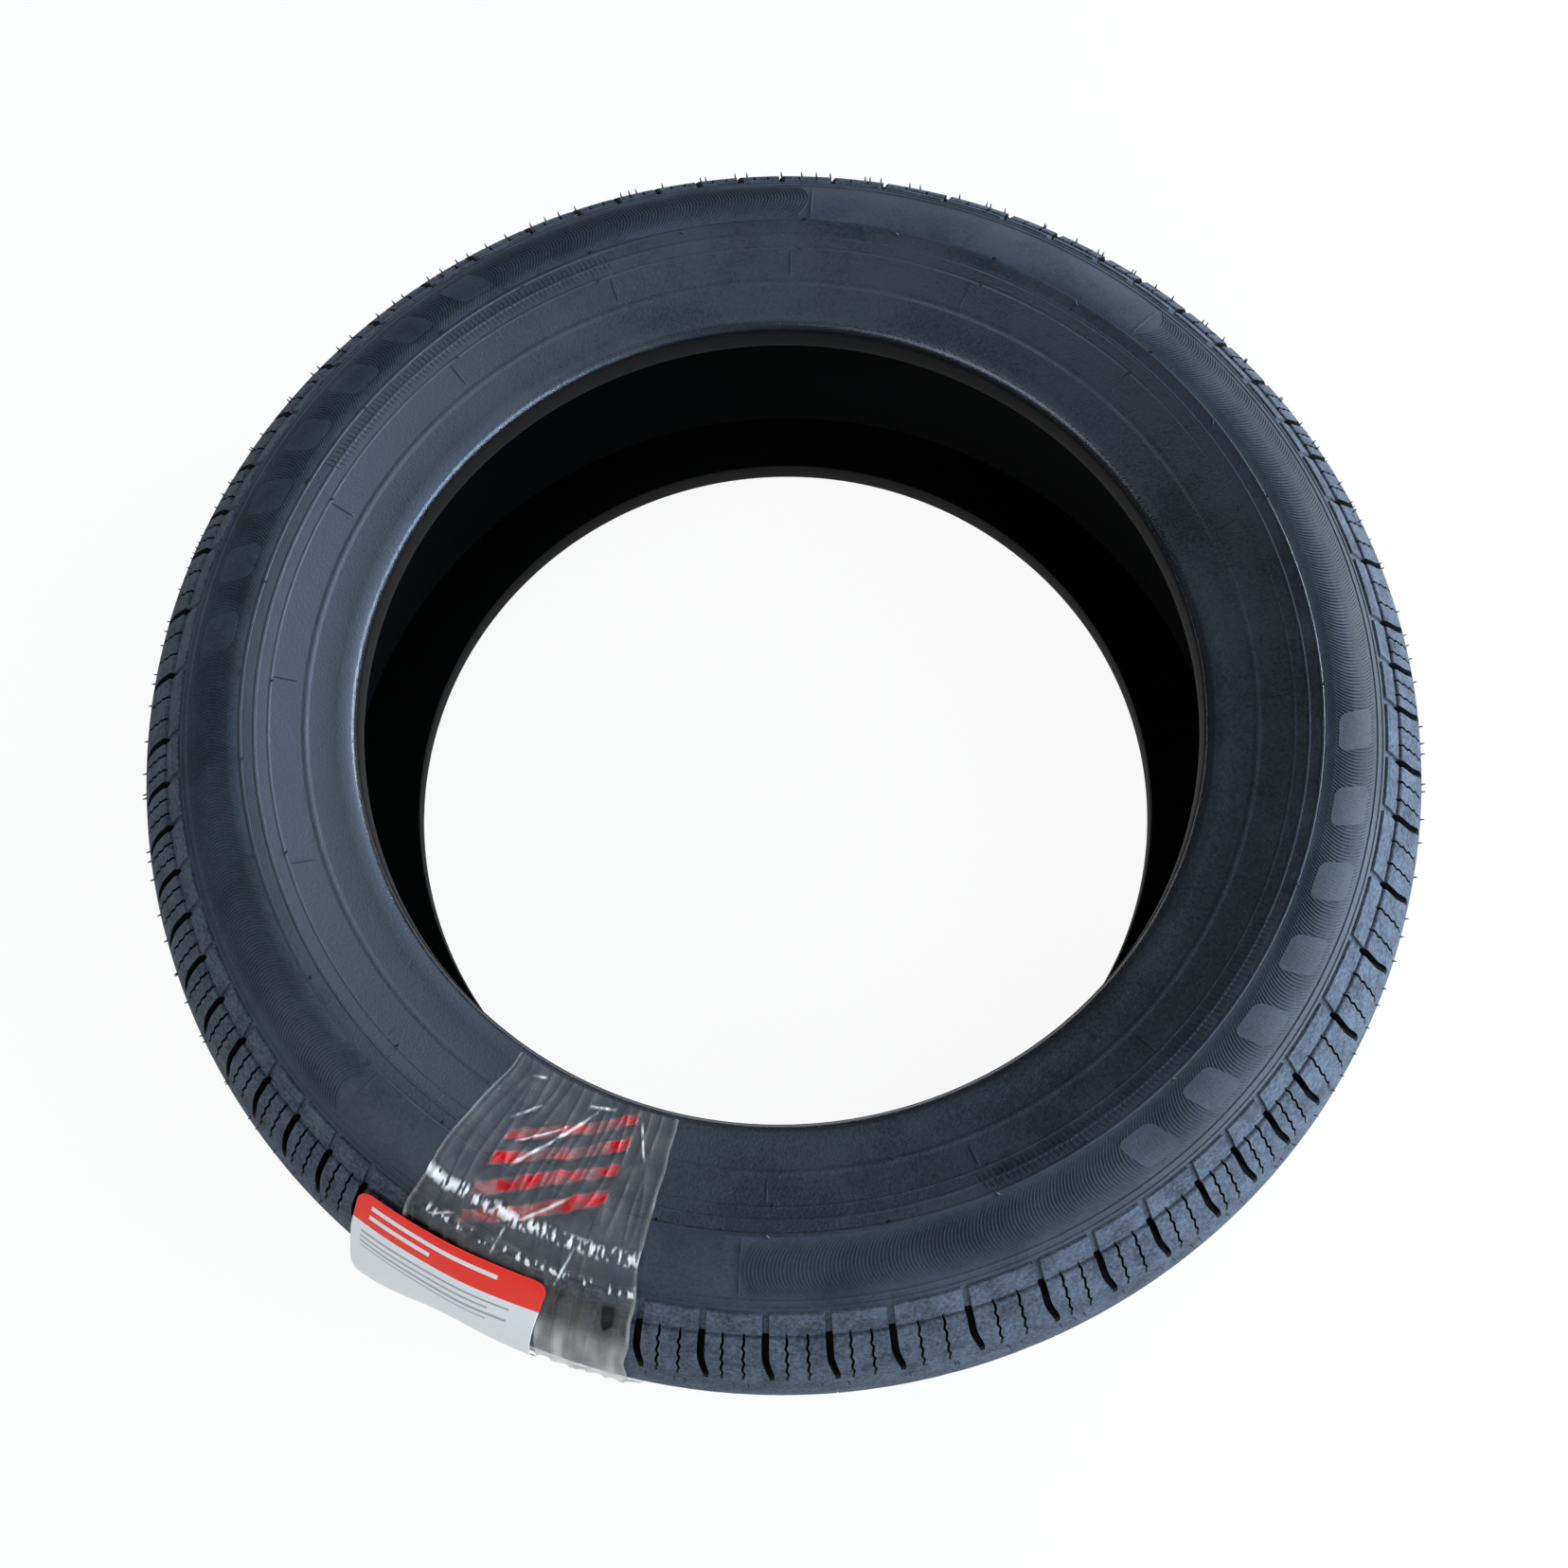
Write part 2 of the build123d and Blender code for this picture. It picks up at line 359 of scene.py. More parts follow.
class StudioSettings(bpy.types.PropertyGroup):
    """Light and camera"""

    key_power: FloatProperty(name="Key Light", description="Soft light high on the right", default=6.0, unit="POWER")
    side_power: FloatProperty(name="Side Light", description="Soft light low on the right", default=30.0, unit="POWER")
    fill_power: FloatProperty(name="Fill Light", description="Soft light from the left", default=8.0, unit="POWER")
    glint_power: FloatProperty(
        name="Glint Light", description="Small light low on the right", default=8.0, unit="POWER",
    )
    ambient_left: FloatProperty(
        name="Ambient Left", description="Strength of the surroundings high on the left", default=0.12,
    )
    ambient_right: FloatProperty(
        name="Ambient Right", description="Strength of the surroundings high on the right", default=1.45,
    )
    horizon_left: FloatProperty(
        name="Horizon Left", description="Strength of the surroundings low on the left", default=0.22,
    )
    horizon_right: FloatProperty(
        name="Horizon Right", description="Strength of the surroundings low on the right", default=1.8,
    )
    lens: FloatProperty(name="Lens", description="Focal length on a 36 mm sensor", default=41.5, unit="CAMERA")
    distance: FloatProperty(
        name="Distance", description="From the middle of the tyre to the camera", default=0.823, unit="LENGTH",
    )
    elevation: FloatProperty(
        name="Elevation", description="Height of the camera over the horizon",
        default=radians(70.52), subtype="ANGLE",
    )
    roll: FloatProperty(
        name="Roll", description="Turn of the camera about its line of sight", default=radians(-2.59), subtype="ANGLE",
    )
    aim: FloatVectorProperty(
        name="Aim", description="Point that the camera looks at", default=(0.0, -0.01486, 0.0), subtype="TRANSLATION",
    )


def add_node(tree, kind, inputs=None, **settings):
    """Adds a node with its settings; each input takes a value or a link from another node's socket."""
    made = tree.nodes.new(kind)
    for name, value in settings.items():
        setattr(made, name, value)
    for name, value in (inputs or {}).items():
        if isinstance(value, bpy.types.NodeSocket):
            tree.links.new(value, made.inputs[name])
        else:
            made.inputs[name].default_value = value
    return made


def new_material(name):
    """Material with only a shader and its output."""
    material = bpy.data.materials.new(name)
    material.use_nodes = True
    material.node_tree.nodes.clear()
    shader = add_node(material.node_tree, "ShaderNodeBsdfPrincipled")
    add_node(material.node_tree, "ShaderNodeOutputMaterial", {"Surface": shader.outputs["BSDF"]})
    return material, material.node_tree, shader


def rubber_material(colours):
    """Moulded carbon-black rubber: nearly black, with a satin skin, a fine mould grain and patches of dull bloom."""
    name = "moulded_rubber"
    if name in bpy.data.materials:
        return bpy.data.materials[name]
    material, tree, shader = new_material(name)
    place = add_node(tree, "ShaderNodeTexCoord").outputs["Object"]
    # Patches about 40 mm across, with specks of about 1.5 mm in them
    bloom = add_node(tree, "ShaderNodeTexNoise", {"Vector": place, "Scale": 25.0, "Detail": 5.0, "Roughness": 0.6})
    specks = add_node(tree, "ShaderNodeTexNoise", {"Vector": place, "Scale": 650.0, "Detail": 2.0, "Roughness": 0.7})
    mixed = add_node(
        tree, "ShaderNodeMath", {0: specks.outputs["Fac"], 1: 0.8, 2: bloom.outputs["Fac"]}, operation="MULTIPLY_ADD",
    )
    tone = add_node(tree, "ShaderNodeValToRGB", {"Fac": mixed.outputs[0]})
    tone.color_ramp.elements[0].position, tone.color_ramp.elements[0].color = 0.70, linear(colours.rubber)
    tone.color_ramp.elements[1].position, tone.color_ramp.elements[1].color = 1.0, linear(colours.rubber_dull)
    gloss = add_node(
        tree, "ShaderNodeMapRange",
        {"Value": mixed.outputs[0], "From Min": 0.7, "From Max": 1.1, "To Min": 0.36, "To Max": 0.58},
    )
    # The bead's heel is pressed smooth, over its first few millimetres from the seat
    parts = add_node(tree, "ShaderNodeSeparateXYZ", {"Vector": place})
    flat = add_node(tree, "ShaderNodeCombineXYZ", {"X": parts.outputs["X"], "Y": parts.outputs["Y"]})
    radius = add_node(tree, "ShaderNodeVectorMath", {0: flat.outputs["Vector"]}, operation="LENGTH")
    polish = add_node(
        tree, "ShaderNodeMapRange",
        {"Value": radius.outputs["Value"], "From Min": 0.1797, "From Max": 0.1812, "To Min": 0.36, "To Max": 1.0},
    )
    rough = add_node(
        tree, "ShaderNodeMath", {0: gloss.outputs["Result"], 1: polish.outputs["Result"]}, operation="MULTIPLY",
    )
    # Mould grain of about 1.1 mm, coarser than the real one so that it shows
    grain = add_node(tree, "ShaderNodeTexNoise", {"Vector": place, "Scale": 900.0, "Detail": 3.0, "Roughness": 0.7})
    bump = add_node(
        tree, "ShaderNodeBump", {"Height": grain.outputs["Fac"], "Strength": 0.6, "Distance": 0.0003},
    )
    tree.links.new(tone.outputs["Color"], shader.inputs["Base Color"])
    tree.links.new(rough.outputs[0], shader.inputs["Roughness"])
    tree.links.new(bump.outputs["Normal"], shader.inputs["Normal"])
    shader.inputs["Specular IOR Level"].default_value = 1.0
    # The reflections are rendered, but their bluish tint is painted, standing in for the blue of the light
    shader.inputs["Specular Tint"].default_value = linear("#dce8ff")
    return material


def tread_material(colours):
    """Tread rubber: the same black compound with a chalky, dusty skin and no gloss, finely gritty to the eye."""
    material, tree, shader = new_material("tread_rubber")
    place = add_node(tree, "ShaderNodeTexCoord").outputs["Object"]
    # Dust in patches of about 12 mm, and grit of about 1.6 mm
    dust = add_node(tree, "ShaderNodeTexNoise", {"Vector": place, "Scale": 80.0, "Detail": 4.0, "Roughness": 0.65})
    grit = add_node(tree, "ShaderNodeTexNoise", {"Vector": place, "Scale": 620.0, "Detail": 3.0, "Roughness": 0.75})
    mixed = add_node(
        tree, "ShaderNodeMath", {0: grit.outputs["Fac"], 1: 1.6, 2: dust.outputs["Fac"]}, operation="MULTIPLY_ADD",
    )
    level = add_node(tree, "ShaderNodeMath", {0: mixed.outputs[0], 1: 0.55}, operation="MULTIPLY")
    tone = add_node(tree, "ShaderNodeValToRGB", {"Fac": level.outputs[0]})
    tone.color_ramp.elements[0].position, tone.color_ramp.elements[0].color = 0.57, linear(colours.tread)
    tone.color_ramp.elements[1].position, tone.color_ramp.elements[1].color = 0.90, linear(colours.tread_dusty)
    bump = add_node(
        tree, "ShaderNodeBump", {"Height": grit.outputs["Fac"], "Strength": 0.6, "Distance": 0.0003},
    )
    tree.links.new(tone.outputs["Color"], shader.inputs["Base Color"])
    tree.links.new(bump.outputs["Normal"], shader.inputs["Normal"])
    shader.inputs["Roughness"].default_value = 0.75
    shader.inputs["Specular IOR Level"].default_value = 0.15
    return material


def ridged_material(colours):
    """Rubber of the ridged bands: the mould's fine ridges scatter light, so it looks dull and evenly grey-black."""
    name = "ridged_rubber"
    if name in bpy.data.materials:
        return bpy.data.materials[name]
    material, tree, shader = new_material(name)
    place = add_node(tree, "ShaderNodeTexCoord").outputs["Object"]
    # Patches about 30 mm across with specks of about 1.3 mm
    bloom = add_node(tree, "ShaderNodeTexNoise", {"Vector": place, "Scale": 33.0, "Detail": 4.0, "Roughness": 0.6})
    specks = add_node(tree, "ShaderNodeTexNoise", {"Vector": place, "Scale": 750.0, "Detail": 2.0, "Roughness": 0.7})
    mixed = add_node(
        tree, "ShaderNodeMath", {0: specks.outputs["Fac"], 1: 0.7, 2: bloom.outputs["Fac"]}, operation="MULTIPLY_ADD",
    )
    tone = add_node(tree, "ShaderNodeValToRGB", {"Fac": mixed.outputs[0]})
    tone.color_ramp.elements[0].position, tone.color_ramp.elements[0].color = 0.65, linear(colours.ridged)
    tone.color_ramp.elements[1].position, tone.color_ramp.elements[1].color = 1.0, linear(colours.ridged_dusty)
    bump = add_node(
        tree, "ShaderNodeBump", {"Height": specks.outputs["Fac"], "Strength": 0.35, "Distance": 0.0002},
    )
    tree.links.new(tone.outputs["Color"], shader.inputs["Base Color"])
    tree.links.new(bump.outputs["Normal"], shader.inputs["Normal"])
    shader.inputs["Roughness"].default_value = 0.55
    shader.inputs["Specular IOR Level"].default_value = 0.35
    return material


def liner_material(colours):
    """Airtight inner liner: dull black rubber, darkened further as painted shade, with faint marks about 15 mm apart
    from the press's bladder.
    """
    material, tree, shader = new_material("inner_liner")
    place = add_node(tree, "ShaderNodeTexCoord").outputs["Object"]
    marks = add_node(tree, "ShaderNodeTexNoise", {"Vector": place, "Scale": 65.0, "Detail": 3.0})
    tone = add_node(tree, "ShaderNodeValToRGB", {"Fac": marks.outputs["Fac"]})
    tone.color_ramp.elements[0].color = linear(colours.liner)
    tone.color_ramp.elements[1].color = linear(colours.rubber)
    bump = add_node(
        tree, "ShaderNodeBump", {"Height": marks.outputs["Fac"], "Strength": 0.2, "Distance": 0.001},
    )
    tree.links.new(tone.outputs["Color"], shader.inputs["Base Color"])
    tree.links.new(bump.outputs["Normal"], shader.inputs["Normal"])
    shader.inputs["Roughness"].default_value = 0.7
    shader.inputs["Specular IOR Level"].default_value = 0.12
    return material


def finish_piece(piece, slot, *nodes):
    """Ties a finished piece to the frame."""
    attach(piece, "root")
    if nodes:
        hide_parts(*nodes)


def mesh_object(name, vertices, faces, material=None, sharp=None):
    """New object at the origin with its place in its mesh; edges past the sharp angle stay crisp."""
    mesh = bpy.data.meshes.new(name)
    mesh.from_pydata([tuple(vertex) for vertex in vertices], [], faces)
    mesh.validate()
    tidy = bmesh.new()
    tidy.from_mesh(mesh)
    bmesh.ops.recalc_face_normals(tidy, faces=tidy.faces)
    tidy.to_mesh(mesh)
    tidy.free()
    mesh.shade_smooth()
    if sharp is not None:
        mesh.set_sharp_from_angle(angle=sharp)
    if material:
        mesh.materials.append(material)
    piece = bpy.data.objects.new(name, mesh)
    bpy.context.scene.collection.objects.link(piece)
    return piece


def grid_faces(across, along):
    """Faces of a sheet whose points run row by row."""
    starts = [row * (across + 1) + column for row in range(along) for column in range(across)]
    return [[low, low + 1, low + across + 2, low + across + 1] for low in starts]


def block_column_places(mould, place, radius, arc, kind):
    """Angle and depth of each column of one pitch, at one row of the section."""
    run = min(max((place - LEDGE) / (SLOT_END - LEDGE), 0.0), 1.0)
    hook = mould.slot_hook * ease(0.4, 1.0, run)
    half = mould.slot_width / 2 * (1 - 0.35 * run ** 10)
    beside = half + SLOT_LIP
    top = bottom = sipe_depth = swing = 0.0
    if kind == "panel":
        fall = (mould.panel_rise + mould.block_rise) * (place - PANEL_START) / (LEDGE - PANEL_START)
        top = fall - mould.panel_rise
        bottom = top + mould.panel_gap
        sipe_depth = PANEL_SIPE_DEPTH * ease(LEDGE - 0.0019, LEDGE - 0.0014, place)
    elif kind == "panel_edge":
        top = bottom = mould.edge_groove / 2
    elif kind == "block_edge":
        top = mould.block_rise + mould.edge_groove
        bottom = top + mould.panel_gap
        sipe_depth = PANEL_SIPE_DEPTH
    elif kind == "block":
        bottom = mould.slot_depth * (1 - run ** 8)
        sipe_run = min(max((place - LEDGE) / (SIPE_END - LEDGE), 0.0), 1.0)
        sipe_depth = mould.sipe_depth * (1 - sipe_run ** 6)
        swing = mould.sipe_swing * zigzag(sipe_run * 3.5)
    elif kind == "crown":
        half, beside, bottom = 0.0005, 0.002, 0.0025
    foot = half * 0.85
    columns = {
        0: (hook - half / radius, top), 1: (hook - foot / radius, bottom), 2: (hook + foot / radius, bottom),
        3: (hook + half / radius, top), 4: (hook + beside / radius, top), 14: (hook + arc - beside / radius, top),
    }
    for number, share in COLUMN_SHARES.items():
        columns[number] = (arc * share + (0.0 if number == 9 else hook / 2), top)
    for number, share in SIPE_COLUMNS.items():
        middle = arc * share + swing / radius
        columns[number - 1] = (middle - mould.sipe_width / 2 / radius, top)
        columns[number] = (middle, top + sipe_depth)
        columns[number + 1] = (middle + mould.sipe_width / 2 / radius, top)
    return columns


def side_rows():
    """Places of the sidewall's rows with how far each stands proud: six rows over every raised ring."""
    rows = {}
    for radius, height, width in RINGS:
        middle = OUTSIDE.at_radius(radius)
        for share, lift in ((-0.9, 0.0), (-0.62, 0.0), (-0.3, height), (0.3, height), (0.62, 0.0), (0.9, 0.0)):
            rows[middle + share * width * MM] = lift * MM
    for number in range(1, int(PANEL_START / SIDE_ROW_STEP)):
        place = number * SIDE_ROW_STEP
        if min(abs(place - other) for other in rows) > SIDE_ROW_CLEARANCE:
            rows[place] = 0.0
    return [(place, lift) for place, lift in sorted(rows.items()) if place < PANEL_START - SIDE_ROW_CLEARANCE]


def crown_rows(mould):
    """Heights and depths of the rows over half the crown, from its edge to the middle of the central groove."""
    half, spacing, deep, draft = mould.groove_width / 2, mould.groove_spacing, mould.groove_depth, 0.0006
    rows = [(0.0285, 0.0)]
    for middle in (spacing, 0.0):
        rows += [(middle + half + draft, 0.0), (middle + half, 0.0003), (middle + half - draft, deep)]
        if middle:
            rows += [(middle - half + draft, deep), (middle - half, 0.0003), (middle - half - draft, 0.0)]
            rows.append((spacing / 2, 0.0))
    return rows


def half_rows(mould):
    """Rows of the upper half from the toe to the middle of the crown: point, normal, kind and place."""
    rows = []
    for radius, height in BEAD_LINE:
        kind = "bead" if height < BEAD_TOP else "side"
        rows.append((Vector((radius, height)) * MM, Vector((0.0, 0.0)), kind, 0.0))
    outer = OUTSIDE.at_radius(OUTER_SIDE_RADIUS)
    for place, lift in side_rows():
        point, normal = OUTSIDE.at(place)
        rows.append((point + normal * lift, normal, "side" if place < outer else "outer_side", place))
    for place, kind in (
        (PANEL_START - 0.0009, "edge"), (PANEL_START - 0.0003, "panel_edge"), (PANEL_START + 0.0001, "panel"),
        (PANEL_START + 0.0045, "panel"), (LEDGE - 0.0020, "panel"), (LEDGE - 0.0014, "panel"),
        (LEDGE - 0.0009, "panel"), (LEDGE - 0.0004, "block_edge"),
    ):
        rows.append((*OUTSIDE.at(place), kind, place))
    point, normal = OUTSIDE.at(LEDGE + 0.0001)
    rows.append((point - normal * 0.0004, normal, "block", LEDGE))
    places = [LEDGE + 0.0006]
    while places[-1] < SLOT_END - 0.002:
        places.append(places[-1] + BLOCK_ROW_STEP)
    places += [SLOT_END - 0.0004, SLOT_END + 0.0015]
    rows += [(*OUTSIDE.at(place), "block", place) for place in places]
    for share in (0.35, 0.7, 1.0):
        place = SLOT_END + 0.0015 + (CROWN_START - SLOT_END - 0.0015) * share
        rows.append((*OUTSIDE.at(place), "shoulder", place))
    edge = OUTSIDE.at(CROWN_START)[0].y
    for height, sunk in crown_rows(mould):
        place = CROWN_START + (OUTSIDE.length - CROWN_START) * (1 - height / edge)
        point, normal = OUTSIDE.at(place)
        rows.append((point - normal * sunk, normal, "groove" if sunk > 0.001 else "crown", place))
    return rows


def tyre_rows(mould):
    """Rows of the whole closed section: outside from the upper toe to the lower one, then back along the liner."""
    upper = half_rows(mould)
    rows = list(upper)
    for point, normal, kind, place in reversed(upper):
        rows.append((Vector((point.x, -point.y)), Vector((normal.x, -normal.y)), kind, place))
    upward = [LINER.at(LINER.length * step / LINER_STEPS)[0] for step in range(LINER_STEPS + 1)]
    inside = [Vector((point.x, -point.y)) for point in reversed(upward)] + upward[1:]
    rows += [(point, Vector((0.0, 0.0)), "liner", 0.0) for point in inside]
    return rows


def tyre_shape(mould):
    """Vertices and faces of the moulded ring, with the number of each face's finish."""
    vertices, faces, finishes, rings = [], [], [], []
    sets = {kind: SIDE_COLUMNS for kind in ("bead", "side", "outer_side", "liner")}
    sets.update({kind: TREAD_COLUMNS for kind in ("crown", "groove")})
    for point, normal, kind, place in tyre_rows(mould):
        chosen = sets.get(kind, BLOCK_COLUMNS)
        ring = []
        for start, arc in pitches():
            columns = block_column_places(mould, place, point.x, arc, kind)
            for number in chosen:
                angle, sunk = columns[number]
                ring.append(len(vertices))
                vertices.append(spun(point - normal * sunk, start + angle))
        rings.append((chosen, ring, kind))
    for (chosen, ring, kind), (other_chosen, other, other_kind) in zip(rings, [*rings[1:], rings[0]]):
        finish = min(ROW_FINISH[kind], ROW_FINISH[other_kind])
        cut = kind == other_kind == "block"
        fine, sparse = (chosen, ring), (other_chosen, other)
        if len(chosen) < len(other_chosen):
            fine, sparse = sparse, fine
        stops = [
            pitch * len(fine[0]) + fine[0].index(number)
            for pitch in range(len(PITCH_ORDER)) for number in sparse[0]
        ]
        for here, (first, last) in enumerate(zip(stops, [*stops[1:], stops[0] + len(fine[1])])):
            run = [fine[1][number % len(fine[1])] for number in range(first, last + 1)]
            faces.append([*run, sparse[1][(here + 1) % len(stops)], sparse[1][here]])
            # Inside the slots and sipes the finish is painted shade
            finishes.append(CUT_SHADE_FINISH if cut and here % len(chosen) in CUT_COLUMNS else finish)
    return vertices, faces, finishes


class TYRE_OT_moulding(bpy.types.Operator):
    """Makes the moulded ring with its blocks, slots, sipes, panels, rings and grooves"""

    bl_idname = "tyre.moulding"
    bl_label = "Moulded Tyre"

    def execute(self, context):
        vertices, faces, finishes = tyre_shape(context.scene.tyre_mould)
        colours = context.scene.tyre_colours
        piece = mesh_object("tyre_moulding", vertices, faces, rubber_material(colours), SHARP_MOULDING)
        for material in (liner_material(colours), tread_material(colours), ridged_material(colours)):
            piece.data.materials.append(material)
        piece.data.polygons.foreach_set("material_index", finishes)
        finish_piece(piece, "rubber", "tyre")
        return {"FINISHED"}


def turned_copies_tree():
    """Node tree that turns copies of a shape round the axis, each a little off its place."""
    name = "turned_copies"
    if name in bpy.data.node_groups:
        return bpy.data.node_groups[name]
    tree = bpy.data.node_groups.new(name, "GeometryNodeTree")
    for label, kind in (
        ("Shape", "NodeSocketGeometry"), ("Count", "NodeSocketInt"), ("First Angle", "NodeSocketFloat"),
        ("Step", "NodeSocketFloat"), ("Unevenness", "NodeSocketFloat"), ("Seed", "NodeSocketInt"),
        ("Material", "NodeSocketMaterial"),
    ):
        tree.interface.new_socket(label, in_out="INPUT", socket_type=kind)
    tree.interface.new_socket("Copies", in_out="OUTPUT", socket_type="NodeSocketGeometry")
    given = add_node(tree, "NodeGroupInput").outputs
    points = add_node(tree, "GeometryNodeMeshLine", {"Count": given["Count"], "Offset": (0.0, 0.0, 0.0)})
    number = add_node(tree, "GeometryNodeInputIndex").outputs["Index"]
    back = add_node(tree, "ShaderNodeMath", {0: given["Unevenness"], 1: -1.0}, operation="MULTIPLY")
    stray = add_node(
        tree, "FunctionNodeRandomValue",
        {2: back.outputs[0], 3: given["Unevenness"], "ID": number, "Seed": given["Seed"]}, data_type="FLOAT",
    )
    turn = add_node(
        tree, "ShaderNodeMath", {0: number, 1: given["Step"], 2: given["First Angle"]}, operation="MULTIPLY_ADD",
    )
    angle = add_node(tree, "ShaderNodeMath", {0: turn.outputs[0], 1: stray.outputs[1]}, operation="ADD")
    about = add_node(tree, "ShaderNodeCombineXYZ", {"Z": angle.outputs[0]})
    rotation = add_node(tree, "FunctionNodeEulerToRotation", {"Euler": about.outputs["Vector"]})
    copies = add_node(
        tree, "GeometryNodeInstanceOnPoints",
        {"Points": points.outputs["Mesh"], "Instance": given["Shape"], "Rotation": rotation.outputs["Rotation"]},
    )
    real = add_node(tree, "GeometryNodeRealizeInstances", {"Geometry": copies.outputs["Instances"]})
    dressed = add_node(
        tree, "GeometryNodeSetMaterial", {"Geometry": real.outputs["Geometry"], "Material": given["Material"]},
    )
    add_node(tree, "NodeGroupOutput", {"Copies": dressed.outputs["Geometry"]})
    return tree


def turned_copies(name, shape, material, count, first, step, unevenness=0.0, seed=0):
    """Plain mesh piece of copies of a shape, (vertices, faces), turned round the axis."""
    piece = mesh_object(name, *shape, sharp=SHARP_RELIEF)
    tree = turned_copies_tree()
    modifier = piece.modifiers.new("copies", "NODES")
    modifier.node_group = tree
    values = {
        "Count": count, "First Angle": first, "Step": step, "Unevenness": unevenness, "Seed": seed,
        "Material": material,
    }
    for item in tree.interface.items_tree:
        if item.in_out == "INPUT" and item.name in values:
            modifier[item.identifier] = values[item.name]
    seen = piece.evaluated_get(bpy.context.evaluated_depsgraph_get())
    mesh = bpy.data.meshes.new_from_object(seen)
    piece.modifiers.remove(modifier)
    single, piece.data = piece.data, mesh
    bpy.data.meshes.remove(single)
    mesh.name = name
    return piece


def ridge_shape(first, last, height, width, bend, parts):
    """Ridge on both sidewalls between two places of the section; bend gives its angle at a share of its run."""
    vertices, faces = [], []
    for side in (1, -1):
        base = len(vertices)
        for part in range(parts + 1):
            share = part / parts
            point, normal = OUTSIDE.at(first + (last - first) * share)
            rise = height * min(1.0, 6 * share, 6 * (1 - share))
            for shift, lift in ((-width / 2, -ROOT), (-width / 5, rise), (width / 5, rise), (width / 2, -ROOT)):
                corner = spun(point + normal * lift, bend(share) + shift / point.x)
                vertices.append(Vector((corner.x, corner.y, side * corner.z)))
        for part in range(parts):
            low = base + 4 * part
            faces += [[low + k, low + (k + 1) % 4, low + 4 + (k + 1) % 4, low + 4 + k] for k in range(4)]
        faces += [[base, base + 1, base + 2, base + 3], [base + 4 * parts + k for k in range(4)]]
    return vertices, faces


class TYRE_OT_ridges(bpy.types.Operator):
    """Makes the fine ridged bands and the short radial ribs of both sidewalls"""

    bl_idname = "tyre.ridges"
    bl_label = "Ridged Bands and Ribs"

    def execute(self, context):
        mould = context.scene.tyre_mould
        material = rubber_material(context.scene.tyre_colours)
        dull = ridged_material(context.scene.tyre_colours)
        inner, outer = OUTSIDE.at_radius(222.0), OUTSIDE.at_radius(243.0)
        band = ridge_shape(
            inner, outer, mould.hatch_height, RIDGE_WIDTH, lambda share: radians(1.4) * (share - 0.5) ** 2 * 4, 8,
        )
        count = int(radians(138.5) / mould.hatch_step)
        for name, first in (("right", 264.4), ("left", 84.4)):
            piece = turned_copies("ridged_band_" + name, band, dull, count, radians(first), mould.hatch_step)
            finish_piece(piece, "rubber")
        dash = ridge_shape(
            OUTSIDE.at_radius(211.0), OUTSIDE.at_radius(219.2), mould.hatch_height * 0.8, RIDGE_WIDTH,
            lambda share: radians(0.7) * share, 3,
        )
        for name, first in (("front", 288.0), ("back", 108.0)):
            piece = turned_copies("inner_band_" + name, dash, material, 70, radians(first), radians(0.6))
            finish_piece(piece, "rubber")
        frame_line = ridge_shape(inner, outer, 0.0005, 0.0013, lambda share: 0.0, 6)
        for name, first in (("start", 44.0), ("end", 84.0)):
            piece = turned_copies("panel_frame_" + name, frame_line, dull, 2, radians(first), pi)
            finish_piece(piece, "rubber")
        rib = ridge_shape(
            OUTSIDE.at_radius(199.0), OUTSIDE.at_radius(209.0), 0.0005, 0.0012, lambda share: 0.0, 5,
        )
        piece = turned_copies("radial_ribs", rib, material, 16, radians(18.7), radians(22.5))
        finish_piece(piece, "rubber")
        return {"FINISHED"}


def pad_shape(first, last, arc, slant, height, parts=12):
    """Plain raised pad with round corners, which leans along the sidewall and has a soft edge."""
    vertices, faces = [], []
    rows = [0.0, 0.02, *[0.02 + 0.96 * (1 - cos(pi * k / parts)) / 2 for k in range(1, parts)], 0.98, 1.0]
    for side in (1, -1):
        base = len(vertices)
        for share in rows:
            point, normal = OUTSIDE.at(first + (last - first) * share)
            wide = 1 - 0.5 * abs(2 * share - 1) ** 8
            for across, rise in ((-0.5, -ROOT), (-0.46, height * 0.8), (0.46, height * 0.8), (0.5, -ROOT)):
                if share in (0.0, 1.0):
                    rise = -ROOT
                corner = spun(point + normal * rise, arc * across * wide + slant * (share - 0.5))
                vertices.append(Vector((corner.x, corner.y, side * corner.z)))
        for row in range(len(rows) - 1):
            low = base + 4 * row
            faces += [[low + k, low + k + 1, low + 5 + k, low + 4 + k] for k in range(3)]
            faces.append([low + 3, low, low + 4, low + 7])
        top = base + 4 * (len(rows) - 1)
        faces += [[base, base + 1, base + 2, base + 3], [top, top + 1, top + 2, top + 3]]
    return vertices, faces


class TYRE_OT_pads(bpy.types.Operator):
    """Makes the plain raised pads on the ridged bands"""

    bl_idname = "tyre.pads"
    bl_label = "Raised Pads"

    def execute(self, context):
        mould = context.scene.tyre_mould
        material = ridged_material(context.scene.tyre_colours)
        shape = pad_shape(
            OUTSIDE.at_radius(226.0), OUTSIDE.at_radius(240.5), radians(4.4), radians(1.4), mould.pad_height,
        )
        for name, first in (("right", 304.0), ("left", 124.0)):
            piece = turned_copies("plain_pads_" + name, shape, material, 7, radians(first), radians(8.0))
            finish_piece(piece, "rubber")
        return {"FINISHED"}


